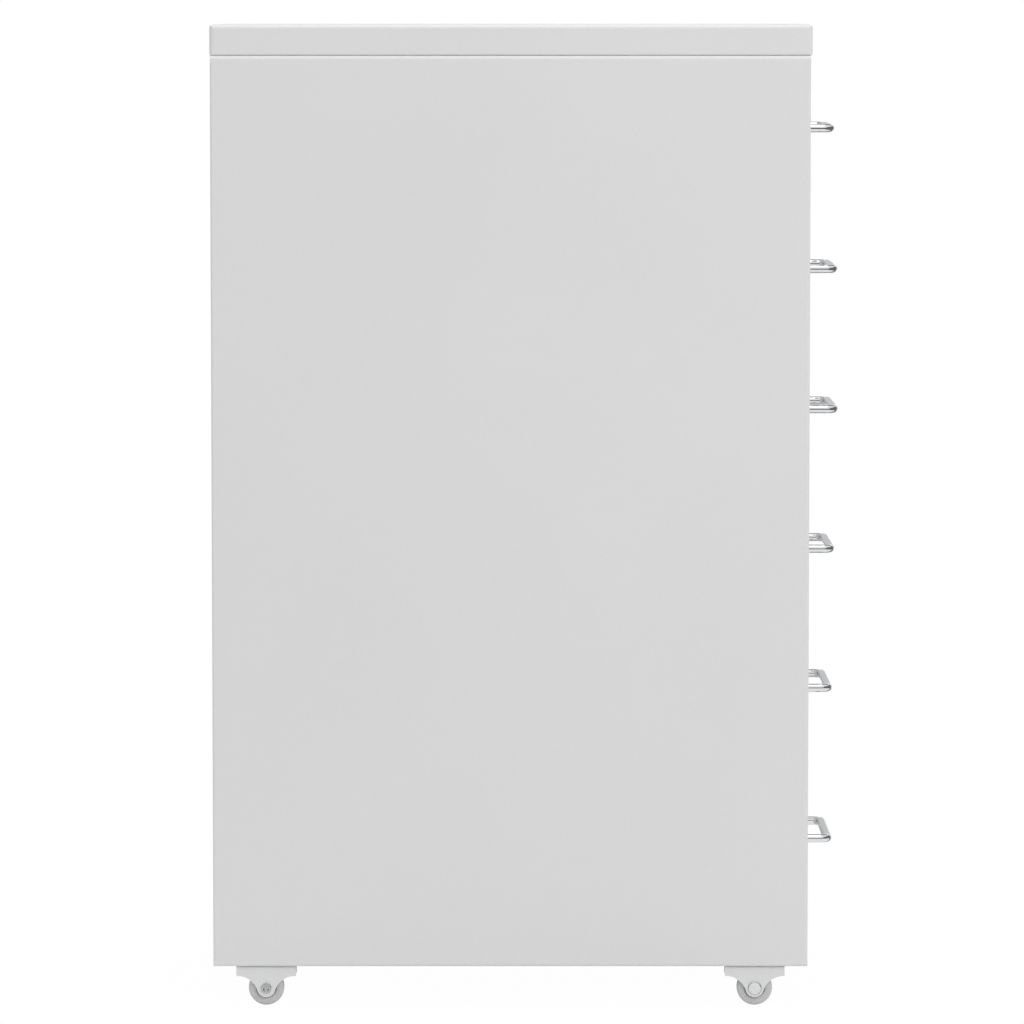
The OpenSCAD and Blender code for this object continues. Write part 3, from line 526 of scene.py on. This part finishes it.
# ---- Screws and nuts ----
# Pan-head screws with a cross recess, zinc plated: M4 with nuts under the casters and the lid,
# and M3 in the handles' feet. Their threads are rolled.
def screw(head_r, head_h, shank_r, core_r, length, pitch, columns=32):
    """A screw about +Z, its head's seat at height 0. Each row runs round the axis. The rows of
    the head's top are squares that turn into circles, so that the cross recess has straight
    walls: its depth is full where the lesser of |x| and |y| is under half the slot's width and
    the greater under half its length, less towards the ends. Down the shank the radius follows a
    triangle wave of height and angle, which is the thread."""
    turn = (np.arange(columns) / columns - 1 / 8) * 4
    side, run = np.floor(turn) % 4, 2 * (turn % 1) - 1
    u = np.choose(side.astype(int), [run, 1 + 0 * run, -run, -1 + 0 * run])
    v = np.choose(side.astype(int), [-1 + 0 * run, run, 1 + 0 * run, -run])
    u, v = u * np.sqrt(1 - v**2 / 2), v * np.sqrt(1 - u**2 / 2)
    angle = np.arctan2(v, u)
    share = np.array([0, 6, 10, 14, 22, 34, 46, 52, 60, 70, 80, 88])[:, None] / 100
    x = share * head_r * ((1 - share) * u + share * np.cos(angle))
    y = share * head_r * ((1 - share) * v + share * np.sin(angle))
    near, far = np.minimum(abs(x), abs(y)), np.maximum(abs(x), abs(y))
    slot, reach, depth, dome = 0.12 * head_r, 0.5 * head_r, 0.55 * head_h, 0.16 * head_h
    recess = depth * (near < slot) * np.clip((reach - far) / (0.25 * reach), 0, 1)
    top = np.stack([x, y, head_h - dome * share**2 - recess + 0 * angle], -1)
    flank = np.array([[0.94, 0.78], [0.98, 0.64], [1.0, 0.46], [1.0, 0.12], [0.97, 0.0]])
    under_head, rows_a_turn, tip = 0.0003, 6, 0.8
    turns = np.arange(-under_head, -length, -pitch / rows_a_turn)[:, None]
    wave = 2 * abs((turns / pitch + angle / (2 * np.pi)) % 1 - 0.5)
    start = np.clip(-turns / pitch - 0.5, 0, 1)
    thread = core_r + (shank_r - core_r) * np.clip(1.5 * wave - 0.25, 0, 1) * start
    flat = 0 * angle[None]
    rings = [(head_r * r + flat, head_h * h + flat) for r, h in flank]
    rings += [(core_r + flat, flat), (thread, turns + flat)]
    rings += [(tip * thread[-1:], flat - length), (flat, flat - length)]
    lower = [np.stack([r * np.cos(angle), r * np.sin(angle), h], -1) for r, h in rings]
    return np.concatenate([top, *lower])


def set_in(shape, seat, way):
    """A shape about +Z moved to its seat and turned so that +Z points along the named way."""
    x, y, z = np.moveaxis(shape, -1, 0)
    turned_to = {"down": (x, -y, -z), "rear": (x, z, -y), "up": (x, y, z)}[way]
    return np.stack(turned_to, -1) + np.array(seat)


def fastened(name, node, body, shapes):
    """One piece of several like fasteners, which stands for a node and rides on its body."""
    made = skin(name, shapes)
    made.data.materials.append(zinc_plate)
    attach(made, body)
    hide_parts(node)


head_r, head_h, bracket_step = 0.0035, 0.0022, 0.016
saddles = [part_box(f"caster_bracket_{corner}") for corner in corners]
low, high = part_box("lid_screws")
sites = {
    "caster": [((a.x + b.x) / 2, (a.y + b.y) / 2 + step)
               for a, b in saddles for step in (-bracket_step, bracket_step)],
    "lid": [(x, y) for x in (low.x + head_r, high.x - head_r)
            for y in (low.y + head_r, high.y - head_r)],
}
for part, places in sites.items():
    low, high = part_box(f"{part}_screws")
    m4 = screw(head_r, head_h, shank_r=0.002, core_r=0.00157,
               length=high.z - low.z - head_h, pitch=0.0007)
    fastened(f"{part}_screws_m4", f"{part}_screws", "cabinet",
             [set_in(m4, (x, y, low.z + head_h), "down") for x, y in places])

for n in range(1, 7):
    low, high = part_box(f"drawer_{n}_handle_screws")
    m3 = screw(head_r, head_h, shank_r=0.0015, core_r=0.0012,
               length=high.y - low.y - head_h, pitch=0.0005)
    fastened(f"handle_screws_m3_{n}", f"drawer_{n}_handle_screws", f"drawer_{n}",
             [set_in(m3, (x, high.y - head_h, (low.z + high.z) / 2), "rear")
              for x in (low.x + head_r, high.x - head_r)])


def hexagon(flats, height, bore):
    """A nut about +Z. The outer radius is half the flats over the cosine of the angle from the
    middle of the nearest flat, cut by the cone of the chamfer towards both faces."""
    angle = np.linspace(0, 2 * np.pi, 49)[:-1]
    across = flats / 2 / np.cos((angle + np.pi / 6) % (np.pi / 3) - np.pi / 6)
    face, cone = 0.48 * flats, 0.52 * flats
    rows = [(bore, 0.2), (bore, 0.0), (face, 0.0), (cone, 0.09), (flats, 0.2), (flats, 0.8),
            (cone, 0.91), (face, 1.0), (bore, 1.0), (bore, 0.8), (bore, 0.2)]
    radius = np.array([np.minimum(limit, across) for limit, _ in rows])
    level = np.array([height * share for _, share in rows])[:, None] + 0 * angle
    return np.stack([radius * np.cos(angle), radius * np.sin(angle), level], -1)


for part, places in sites.items():
    low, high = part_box(f"{part}_nuts")
    nut = hexagon(flats=0.007, height=high.z - low.z, bore=0.00205)
    fastened(f"{part}_nuts_m4", f"{part}_nuts", "cabinet",
             [set_in(nut, (x, y, low.z), "up") for x, y in places])
